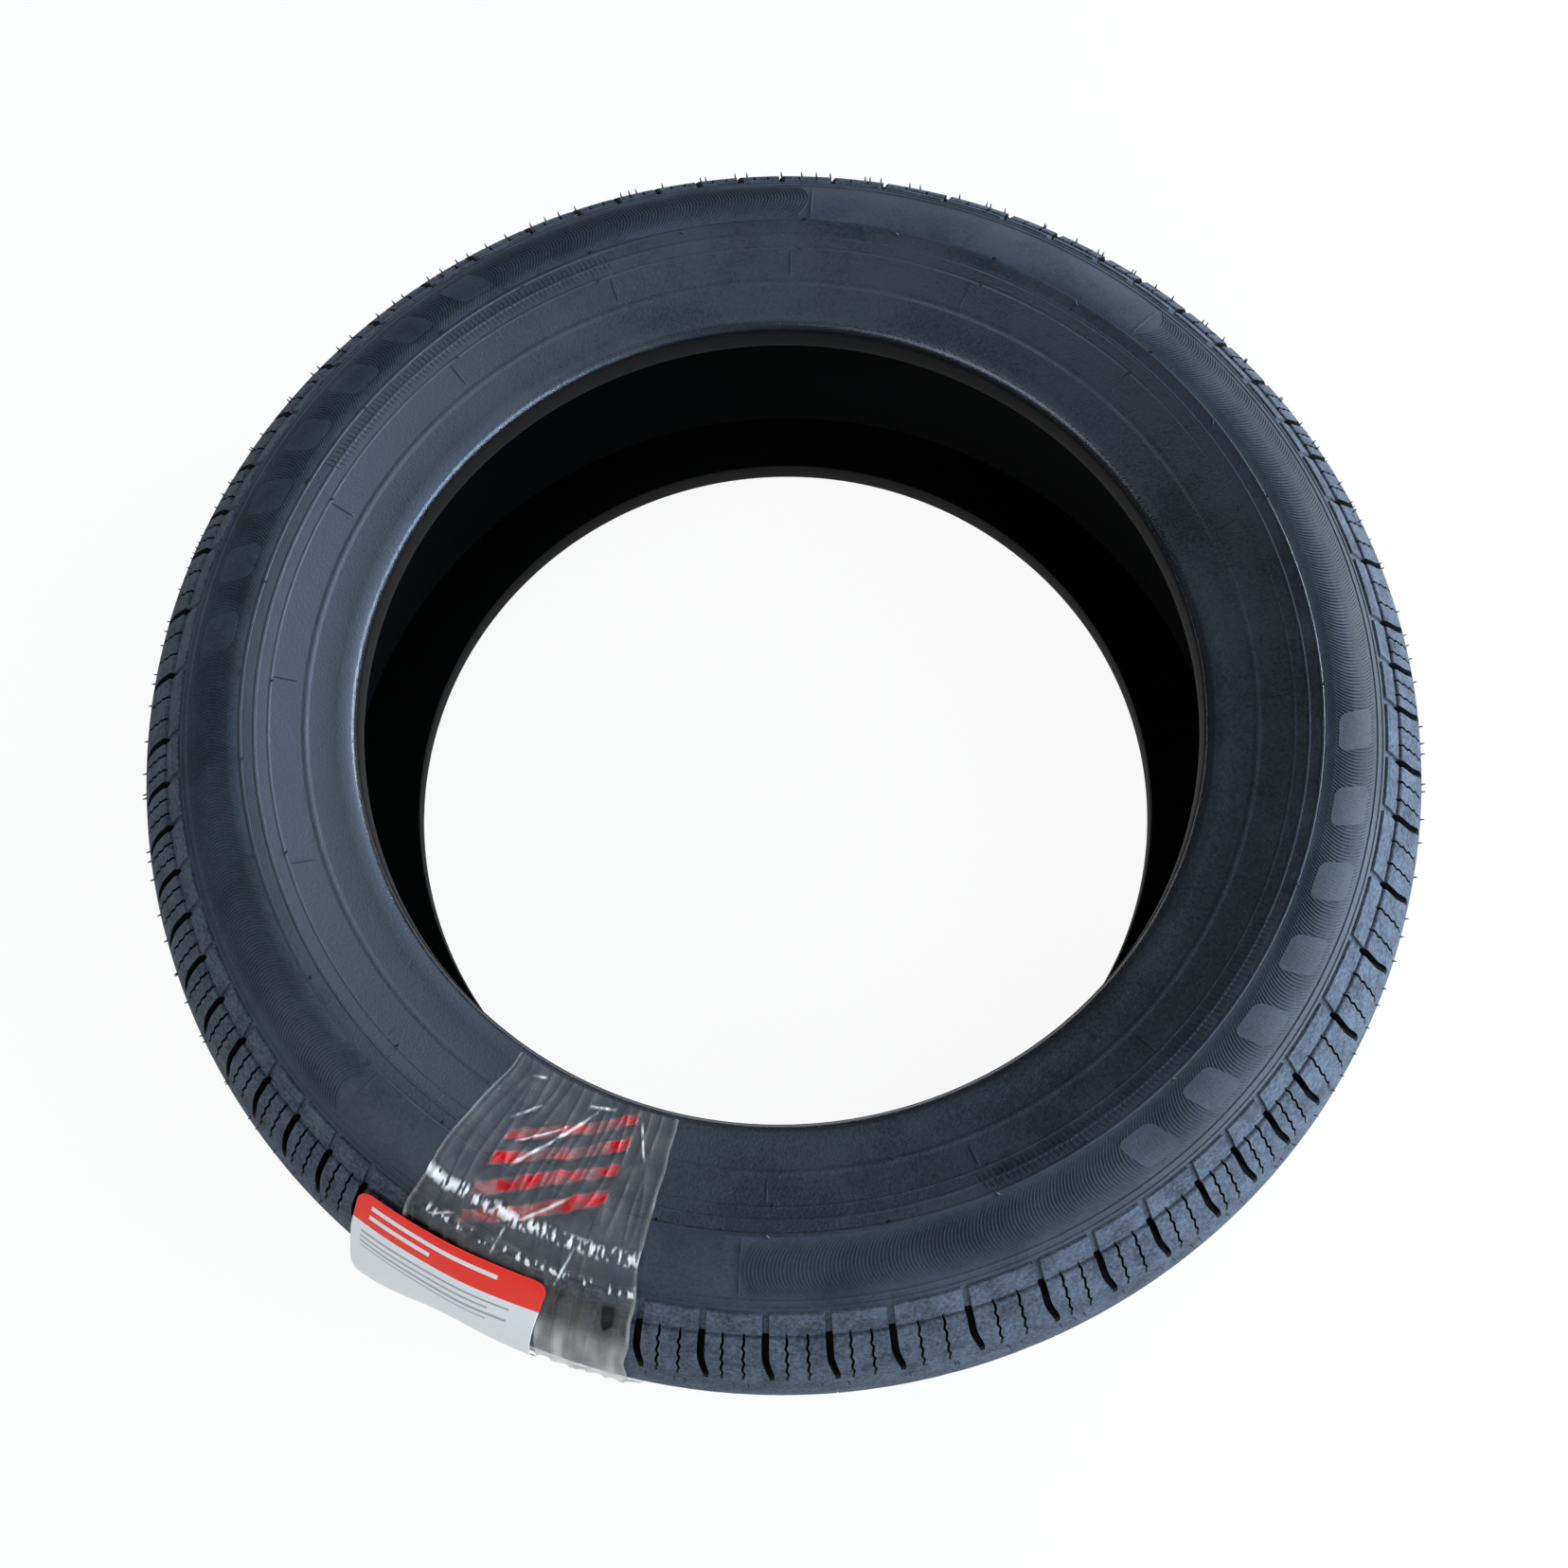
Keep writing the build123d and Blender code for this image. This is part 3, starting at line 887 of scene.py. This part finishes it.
def hair_shape(place, length, lean, sides):
    """Thin tapering hair that stands on a place of the section, on the given sides."""
    vertices, faces = [], []
    for side in sides:
        base = len(vertices)
        point, normal = OUTSIDE.over(place)
        foot, tip = spun(point - normal * HAIR_ROOT, 0.0), spun(point + normal * length, 0.0)
        foot.z, tip.z = side * foot.z, side * tip.z
        tip += Vector(lean) * length
        along = (tip - foot).normalized()
        across = along.cross(Vector((0.3, 0.9, 0.2))).normalized()
        round_it = along.cross(across)
        for share, radius in ((0.0, 0.00048), (0.55, 0.00036), (1.0, 0.00016)):
            middle = foot.lerp(tip, share) + Vector(lean) * length * share * (1 - share)
            for k in range(5):
                turn = 2 * pi * k / 5
                vertices.append(middle + (across * cos(turn) + round_it * sin(turn)) * radius)
        for row in range(2):
            low = base + 5 * row
            faces += [[low + k, low + (k + 1) % 5, low + 5 + (k + 1) % 5, low + 5 + k] for k in range(5)]
        faces += [[base + k for k in range(5)], [base + 10 + k for k in range(5)]]
    return vertices, faces


class TYRE_OT_hairs(bpy.types.Operator):
    """Makes the hairs that the mould's vents leave on the sidewalls and the shoulders"""

    bl_idname = "tyre.hairs"
    bl_label = "Vent Hairs"

    def execute(self, context):
        mould = context.scene.tyre_mould
        material = rubber_material(context.scene.tyre_colours)
        sets = (
            ("side_hairs_a", 219.0, 16, 7.4, 22.5, (0.3, 0.5, 0.1)),
            ("side_hairs_b", 221.6, 16, 18.7, 22.5, (-0.2, -0.6, 0.0)),
            ("rib_hairs", 209.5, 16, 18.7, 22.5, (0.1, 0.3, 0.2)),
            ("shoulder_hairs", 273.0, 160, 2.0, 2.25, (0.0, 0.35, -0.1)),
            ("block_hairs", 264.6, 72, 15.0, 2.1, (0.1, 0.2, 0.3)),
        )
        for name, radius, count, first, step, lean in sets:
            on_tread = name in ("shoulder_hairs", "block_hairs")
            length = mould.hair_length * (0.55 if on_tread else 1.0)
            # The sidewall that the tyre lies on has its hairs pressed flat
            sides = (1, -1) if on_tread else (1,)
            shape = hair_shape(OUTSIDE.at_radius(radius), length, lean, sides)
            piece = turned_copies(
                name, shape, material, count, radians(first), radians(step), radians(1.6), mould.seed,
            )
            finish_piece(piece, "rubber")
        return {"FINISHED"}


def film_material(colours):
    """Stretched clear film: thin and glossy, greyish over black rubber, with painted white glints where it is creased,
    a painted pale and a painted dark reflection, and worn ink.
    """
    material, tree, shader = new_material("stretched_film")
    painted_crease_glint, ink, haze_and_reflection, painted_dark_reflection = (
        add_node(tree, "ShaderNodeAttribute", attribute_name=name).outputs["Fac"] for name in FILM_MARKS
    )
    place = add_node(tree, "ShaderNodeTexCoord").outputs["Object"]
    # Wear in the ink, in patches of about 7 mm
    wear = add_node(tree, "ShaderNodeTexNoise", {"Vector": place, "Scale": 140.0, "Detail": 6.0, "Roughness": 0.65})
    kept = add_node(
        tree, "ShaderNodeMapRange",
        {"Value": wear.outputs["Fac"], "From Min": 0.36, "From Max": 0.60, "To Min": 0.3, "To Max": 1.0},
    )
    print_cover = add_node(tree, "ShaderNodeMath", {0: ink, 1: kept.outputs["Result"]}, operation="MULTIPLY")
    # Painted dark reflection: the film turns towards the rubber's colour and grows more opaque in a band
    with_dark_reflection = add_node(
        tree, "ShaderNodeMix", {"Factor": painted_dark_reflection, "A": linear(colours.film), "B": linear(colours.rubber)},
        data_type="RGBA",
    )
    printed = add_node(
        tree, "ShaderNodeMix",
        {"Factor": print_cover.outputs[0], "A": with_dark_reflection.outputs["Result"], "B": linear(colours.film_ink)},
        data_type="RGBA",
    )
    # Pale at the cut edges, with the painted reflection of the floor in streaks
    pale_and_reflecting = add_node(
        tree, "ShaderNodeMix", {"Factor": haze_and_reflection, "A": printed.outputs["Result"], "B": linear("#cfccc6")},
        data_type="RGBA",
    )
    # Painted white glints on the creases
    with_painted_glints = add_node(
        tree, "ShaderNodeMix", {"Factor": painted_crease_glint, "A": pale_and_reflecting.outputs["Result"], "B": linear("#fbfbfb")},
        data_type="RGBA",
    )
    # Cloudy streaks, about 12 mm apart
    clouds = add_node(tree, "ShaderNodeTexNoise", {"Vector": place, "Scale": 80.0, "Detail": 4.0})
    cover = add_node(
        tree, "ShaderNodeMapRange",
        {"Value": clouds.outputs["Fac"], "From Min": 0.35, "From Max": 0.7, "To Min": 0.10, "To Max": 0.28},
    ).outputs["Result"]
    for mark, weight in ((print_cover.outputs[0], 0.85), (haze_and_reflection, 0.55), (painted_dark_reflection, 0.6), (painted_crease_glint, 0.9)):
        cover = add_node(
            tree, "ShaderNodeMath", {0: mark, 1: weight, 2: cover}, operation="MULTIPLY_ADD", use_clamp=True,
        ).outputs[0]
    tree.links.new(with_painted_glints.outputs["Result"], shader.inputs["Base Color"])
    tree.links.new(cover, shader.inputs["Alpha"])
    shader.inputs["Roughness"].default_value = 0.14
    shader.inputs["IOR"].default_value = 1.5
    return material


class TYRE_OT_film(bpy.types.Operator):
    """Makes the film strip over the ring, with its creases and worn stripes"""

    bl_idname = "tyre.film"
    bl_label = "Film Strip"

    def execute(self, context):
        wrap = context.scene.tyre_wrap
        across, along = FILM_GRID
        length = 2 * OUTSIDE.length - OUTSIDE.at_radius(269.2)
        width = wrap.film_arc * FILM_RADIUS
        vertices, marks = [], []
        for row in range(along + 1):
            place = length * row / along
            point, normal = OUTSIDE.over(place)
            for column in range(across + 1):
                share = column / across
                fray = 0.0016 * noise.noise(Vector((place * 60, share > 0.5, 3.0)))
                angle = wrap.film_start + wrap.film_arc * share + fray / point.x * (2 * share - 1) ** 8
                side = (share - 0.5) * width
                rise, painted_crease_glint = film_fold(side, place)
                haze_and_reflection, painted_dark_reflection = film_haze_and_reflections(side, place, width)
                vertices.append(spun(point + normal * (wrap.film_gap + rise), angle))
                marks.append((painted_crease_glint, film_ink(side, place), haze_and_reflection, painted_dark_reflection))
        finish = film_material(context.scene.tyre_colours)
        piece = mesh_object("film", vertices, grid_faces(across, along), finish)
        for name, values in zip(FILM_MARKS, zip(*marks)):
            piece.data.attributes.new(name, "FLOAT", "POINT").data.foreach_set("value", values)
        finish_piece(piece, "film", "film_strip")
        return {"FINISHED"}


def beside_line(side, place, start, end):
    """Distance of a point from a stretch, and the share of the stretch where it is nearest."""
    run, away = Vector(end) - Vector(start), Vector((side, place)) - Vector(start)
    share = min(max(away.dot(run) / run.length_squared, 0.0), 1.0)
    return (away - run * share).length, share


def film_fold(side, place):
    """How far the film rises at a point, and how strong the painted white glint of its creases is there."""
    slow = noise.noise(Vector((side * 40, place * 14, 1.0)))
    pull = 1 - abs(noise.noise(Vector((side * 160, place * 22, 5.0))))
    rise = 0.0006 * (slow + 0.6) + 0.0009 * pull ** 6
    painted_crease_glint = 0.0
    # Two rows where the film is gathered: the first crowded with small creases that carry painted white glints, the
    # second with a few
    for middle, width, crowd in ((0.0585, 0.0034, 0.16), (0.0713, 0.0026, -0.16)):
        wander = 0.0016 * noise.noise(Vector((side * 120, middle * 700, 3.0)))
        near = max(0.0, 1 - (abs(place - middle - wander) / width) ** 2)
        tick = noise.noise(Vector((side * 700, place * 230, 9.0)))
        patch = noise.noise(Vector((side * 70, middle * 900, 2.0)))
        painted_crease_glint = max(painted_crease_glint, near * ease(0.02, 0.2, tick + crowd + 0.4 * patch))
        rise += near * 0.0007 * (tick + 0.7)
    for start, end, width in FILM_CREASES:
        away, share = beside_line(side, place, start, end)
        line = ease(width, width * 0.3, away) * (1 - abs(2 * share - 1) ** 4)
        flicker = 0.65 + 0.6 * noise.noise(Vector((side * 300, place * 300, 6.0)))
        painted_crease_glint = max(painted_crease_glint, line * flicker)
        rise += 0.0004 * line
    return rise, painted_crease_glint


def film_haze_and_reflections(side, place, width):
    """How pale the film is at a point, and how dark: pale at its cut edges, a painted reflection of the floor in pale
    streaks below the blocks' edge, and a painted dark reflection in a band before them.
    """
    edge = 0.5 * ease(0.0020, 0.0005, width / 2 - abs(side))
    streak = ease(-0.1, 0.5, noise.noise(Vector((side * 210, place * 18, 8.0))))
    # Painted reflection of the floor, pale in streaks below the blocks' edge
    below = ease(LEDGE + 0.004, LEDGE + 0.020, place)
    # Painted dark reflection in a band up to the pale streaks
    dark = ease(0.074, 0.080, place) * (1 - below)
    return max(edge, below * (0.5 + 0.5 * streak)), dark * (1 - 0.5 * streak)


def film_ink(side, place):
    """Cover of the print at a point of the film: plain slanted stripes with worn edges, faded in patches."""
    number = (place + side * STRIPE_SLANT) / STRIPE_STEP
    if not 1 <= number < 1 + STRIPE_COUNT:
        return 0.0
    outside = max(abs(number % 1 - 0.5) * STRIPE_STEP - STRIPE_WIDTH / 2, abs(side) - STRIPE_HALF_LENGTH)
    worn = 0.0012 * noise.noise(Vector((side * 190, place * 190, 4.0)))
    faded = ease(-0.5, 0.1, noise.noise(Vector((side * 60, place * 60, 7.0))))
    return ease(0.0005, -0.0007, outside + worn) * (0.5 + 0.5 * faded)


def card_material(name, colour, roughness):
    """Coated card: smooth and faintly glossy, with a slight mottle in its coat."""
    material, tree, shader = new_material(name)
    place = add_node(tree, "ShaderNodeTexCoord").outputs["Object"]
    # Mottle of about 2 mm
    mottle = add_node(tree, "ShaderNodeTexNoise", {"Vector": place, "Scale": 500.0, "Detail": 3.0})
    base = Vector(linear(colour)[:3])
    tone = add_node(tree, "ShaderNodeValToRGB", {"Fac": mottle.outputs["Fac"]})
    tone.color_ramp.elements[0].color = (*(base * 0.94), 1.0)
    tone.color_ramp.elements[1].color = (*base, 1.0)
    tree.links.new(tone.outputs["Color"], shader.inputs["Base Color"])
    shader.inputs["Roughness"].default_value = roughness
    return material


def label_mark(x, y, header):
    """Finish of the card at a point: 0 card, 1 coloured header, 2 fine grey print."""
    if y < header:
        upper = abs(y - header * 0.36) < 0.0009 and -0.034 < x < 0.022
        lower = abs(y - header * 0.68) < 0.0009 and -0.034 < x < -0.006
        if upper or lower:
            return 0
        return 1
    line = (y - header - 0.004) / 0.0034
    if 0 <= line < 4 and line % 1 < 0.34 and -0.036 < x < 0.030 - 0.008 * (int(line) % 2):
        return 2
    return 0


class TYRE_OT_label(bpy.types.Operator):
    """Makes the card label, bent over the shoulder on top of the film"""

    bl_idname = "tyre.label"
    bl_label = "Card Label"

    def execute(self, context):
        wrap, colours = context.scene.tyre_wrap, context.scene.tyre_colours
        across, along = LABEL_GRID
        start = OUTSIDE.at_radius(252.6)
        vertices, marks = [], []
        corner = 0.006
        for row in range(along + 1):
            y = wrap.label_length * row / along
            cut = corner - sqrt(max(corner ** 2 - max(corner - y, 0.0) ** 2, 0.0))
            for column in range(across + 1):
                share = 2 * column / across - 1
                x = share * (wrap.label_width / 2 - cut)
                place = start + y + x * wrap.label_tilt
                point, normal = OUTSIDE.over(place)
                flare = 0.007 * ease(0.030, 0.075, y) * ease(0.2, -1.0, share)
                lift = wrap.film_gap + 0.0021 + flare + 0.0004 * noise.noise(Vector((x * 40, y * 40, 4.0)))
                vertices.append(spun(point + normal * lift, wrap.label_middle + x / point.x))
        for row in range(along):
            for column in range(across):
                x = ((column + 0.5) / across - 0.5) * wrap.label_width
                marks.append(label_mark(x, wrap.label_length * (row + 0.5) / along, wrap.label_header))
        piece = mesh_object("card_label", vertices, grid_faces(across, along))
        for name, colour in (("coated_card", colours.card), ("red_ink", colours.ink), ("grey_ink", colours.grey_ink)):
            piece.data.materials.append(card_material(name, colour, 0.42))
        piece.data.polygons.foreach_set("material_index", marks)
        wall = piece.modifiers.new("wall", "SOLIDIFY")
        wall.thickness = wrap.card_thickness
        finish_piece(piece, "card", "label")
        return {"FINISHED"}


def floor_material():
    """Matt white paper floor: even and without gloss, with a faint mottle; seen as white with a soft shadow."""
    material, tree, shader = new_material("white_paper")
    place = add_node(tree, "ShaderNodeTexCoord").outputs["Object"]
    # Mottle of about 50 mm
    mottle = add_node(tree, "ShaderNodeTexNoise", {"Vector": place, "Scale": 20.0, "Detail": 2.0})
    tone = add_node(tree, "ShaderNodeValToRGB", {"Fac": mottle.outputs["Fac"]})
    tone.color_ramp.elements[0].color = linear("#f8f8f8")
    tone.color_ramp.elements[1].color = linear("#fbfbfb")
    shader.inputs["Roughness"].default_value = 0.9
    shader.inputs["Specular IOR Level"].default_value = 0.0
    path = add_node(tree, "ShaderNodeLightPath").outputs
    seen = add_node(tree, "ShaderNodeMath", {0: path["Is Camera Ray"], 1: path["Is Glossy Ray"]}, operation="MAXIMUM")
    shown = add_node(tree, "ShaderNodeMath", {0: seen.outputs[0], 1: path["Is Transmission Ray"]}, operation="MAXIMUM")
    # The paper throws back less light than it shows, so that the far side of the ring stays dark
    paper = add_node(
        tree, "ShaderNodeMix", {"Factor": shown.outputs[0], "A": linear("#b0b0b0"), "B": tone.outputs["Color"]},
        data_type="RGBA",
    )
    tree.links.new(paper.outputs["Result"], shader.inputs["Base Color"])
    share = add_node(tree, "ShaderNodeMath", {0: shown.outputs[0], 1: 0.92}, operation="MULTIPLY")
    white = add_node(tree, "ShaderNodeEmission", {"Color": (1.0, 1.0, 1.0, 1.0), "Strength": 1.0})
    mixed = add_node(tree, "ShaderNodeMixShader", {0: share.outputs[0], 1: shader.outputs["BSDF"], 2: white.outputs[0]})
    tree.links.new(mixed.outputs[0], tree.nodes["Material Output"].inputs["Surface"])
    return material


class TYRE_OT_studio(bpy.types.Operator):
    """Makes the floor, the soft lights, the graded surroundings and the camera"""

    bl_idname = "tyre.studio"
    bl_label = "Studio"

    def execute(self, context):
        studio, scene = context.scene.tyre_studio, context.scene
        scene.view_settings.view_transform = "Standard"
        half, height = 30.0, LOWEST - 0.0003
        corners = [(x * half, y * half, height) for x, y in ((-1, -1), (1, -1), (1, 1), (-1, 1))]
        floor = mesh_object("floor", corners, [[0, 1, 2, 3]], floor_material())
        for name, power, place, width, height, colour in (
            ("key", studio.key_power, (0.98, 0.52, 1.13), 1.1, 1.1, (0.62, 0.80, 1.0)),
            ("side", studio.side_power, (1.30, -0.45, 0.20), 1.4, 0.7, (0.68, 0.83, 1.0)),
            ("fill", studio.fill_power, (-0.85, -0.70, 1.09), 0.9, 0.8, (0.92, 0.96, 1.0)),
            ("glint", studio.glint_power, (1.25, 0.55, 0.40), 0.3, 0.3, (1.0, 1.0, 1.0)),
        ):
            lamp = bpy.data.lights.new(name + "_light", "AREA")
            lamp.shape, lamp.size, lamp.size_y, lamp.energy, lamp.color = "RECTANGLE", width, height, power, colour
            lamp_object = bpy.data.objects.new(name + "_light", lamp)
            lamp_object.location = place
            lamp_object.rotation_euler = (-Vector(place)).to_track_quat("-Z", "Y").to_euler()
            scene.collection.objects.link(lamp_object)
        world = bpy.data.worlds.new("studio_surroundings")
        scene.world = world
        world.use_nodes = True
        tree = world.node_tree
        tree.nodes.clear()
        direction = add_node(tree, "ShaderNodeTexCoord").outputs["Generated"]
        facing = add_node(tree, "ShaderNodeSeparateXYZ", {0: direction})
        rightward = add_node(
            tree, "ShaderNodeMapRange", {"Value": facing.outputs["X"], "From Min": -0.05, "From Max": 0.65},
            interpolation_type="SMOOTHSTEP",
        ).outputs["Result"]
        low = add_node(
            tree, "ShaderNodeMapRange", {"Value": facing.outputs["Z"], "From Min": 0.35, "From Max": 0.1},
            interpolation_type="SMOOTHSTEP",
        ).outputs["Result"]
        high = add_node(
            tree, "ShaderNodeMix", {"Factor": rightward, 2: studio.ambient_left, 3: studio.ambient_right},
        )
        level = add_node(
            tree, "ShaderNodeMix", {"Factor": rightward, 2: studio.horizon_left, 3: studio.horizon_right},
        )
        strength = add_node(tree, "ShaderNodeMix", {"Factor": low, 2: high.outputs[0], 3: level.outputs[0]})
        tint = add_node(
            tree, "ShaderNodeMix", {"Factor": rightward, "A": (0.88, 0.94, 1.0, 1.0), "B": (0.68, 0.84, 1.0, 1.0)},
            data_type="RGBA",
        )
        lit = add_node(
            tree, "ShaderNodeBackground", {"Color": tint.outputs["Result"], "Strength": strength.outputs[0]},
        )
        add_node(tree, "ShaderNodeOutputWorld", {"Surface": lit.outputs[0]})
        camera = bpy.data.cameras.new("camera")
        camera.sensor_width, camera.lens, camera.clip_start = 36.0, studio.lens, 0.01
        eye = Vector((0.0, -cos(studio.elevation), sin(studio.elevation))) * studio.distance
        forward = (Vector(studio.aim) - eye).normalized()
        right = forward.cross(Vector((0.0, 0.0, 1.0))).normalized()
        upward = right.cross(forward)
        turned_right = right * cos(studio.roll) + upward * sin(studio.roll)
        turned_up = upward * cos(studio.roll) - right * sin(studio.roll)
        camera_object = bpy.data.objects.new("camera", camera)
        camera_object.matrix_world = Matrix.Translation(eye) @ Matrix(
            (turned_right, turned_up, -forward)
        ).transposed().to_4x4()
        scene.collection.objects.link(camera_object)
        scene.camera = camera_object
        return {"FINISHED"}


class TYRE_PT_sidebar(bpy.types.Panel):
    """Lists the pieces of the tyre in the sidebar"""

    bl_label = "Car Tyre"
    bl_idname = "TYRE_PT_sidebar"
    bl_space_type = "VIEW_3D"
    bl_region_type = "UI"
    bl_category = "Tyre"

    def draw(self, context):
        for operator in OPERATORS:
            self.layout.operator(operator.bl_idname)
        for group in SETTINGS:
            box = self.layout.box()
            for name in SETTINGS[group].__annotations__:
                box.prop(getattr(context.scene, group), name)


SETTINGS = {
    "tyre_mould": MouldSizes, "tyre_wrap": WrapSizes, "tyre_colours": FinishColours, "tyre_studio": StudioSettings,
}
OPERATORS = (
    TYRE_OT_moulding, TYRE_OT_ridges, TYRE_OT_pads, TYRE_OT_hairs, TYRE_OT_film, TYRE_OT_label, TYRE_OT_studio,
)
CLASSES = (*SETTINGS.values(), *OPERATORS, TYRE_PT_sidebar)


def register():
    for each in CLASSES:
        bpy.utils.register_class(each)
    for name, group in SETTINGS.items():
        setattr(bpy.types.Scene, name, PointerProperty(type=group))


def unregister():
    for name in SETTINGS:
        delattr(bpy.types.Scene, name)
    for each in reversed(CLASSES):
        bpy.utils.unregister_class(each)


def main():
    """Makes every piece."""
    register()
    bpy.ops.tyre.moulding()
    bpy.ops.tyre.ridges()
    bpy.ops.tyre.pads()
    bpy.ops.tyre.hairs()
    bpy.ops.tyre.film()
    bpy.ops.tyre.label()
    bpy.ops.tyre.studio()


if __name__ == "__main__":
    main()
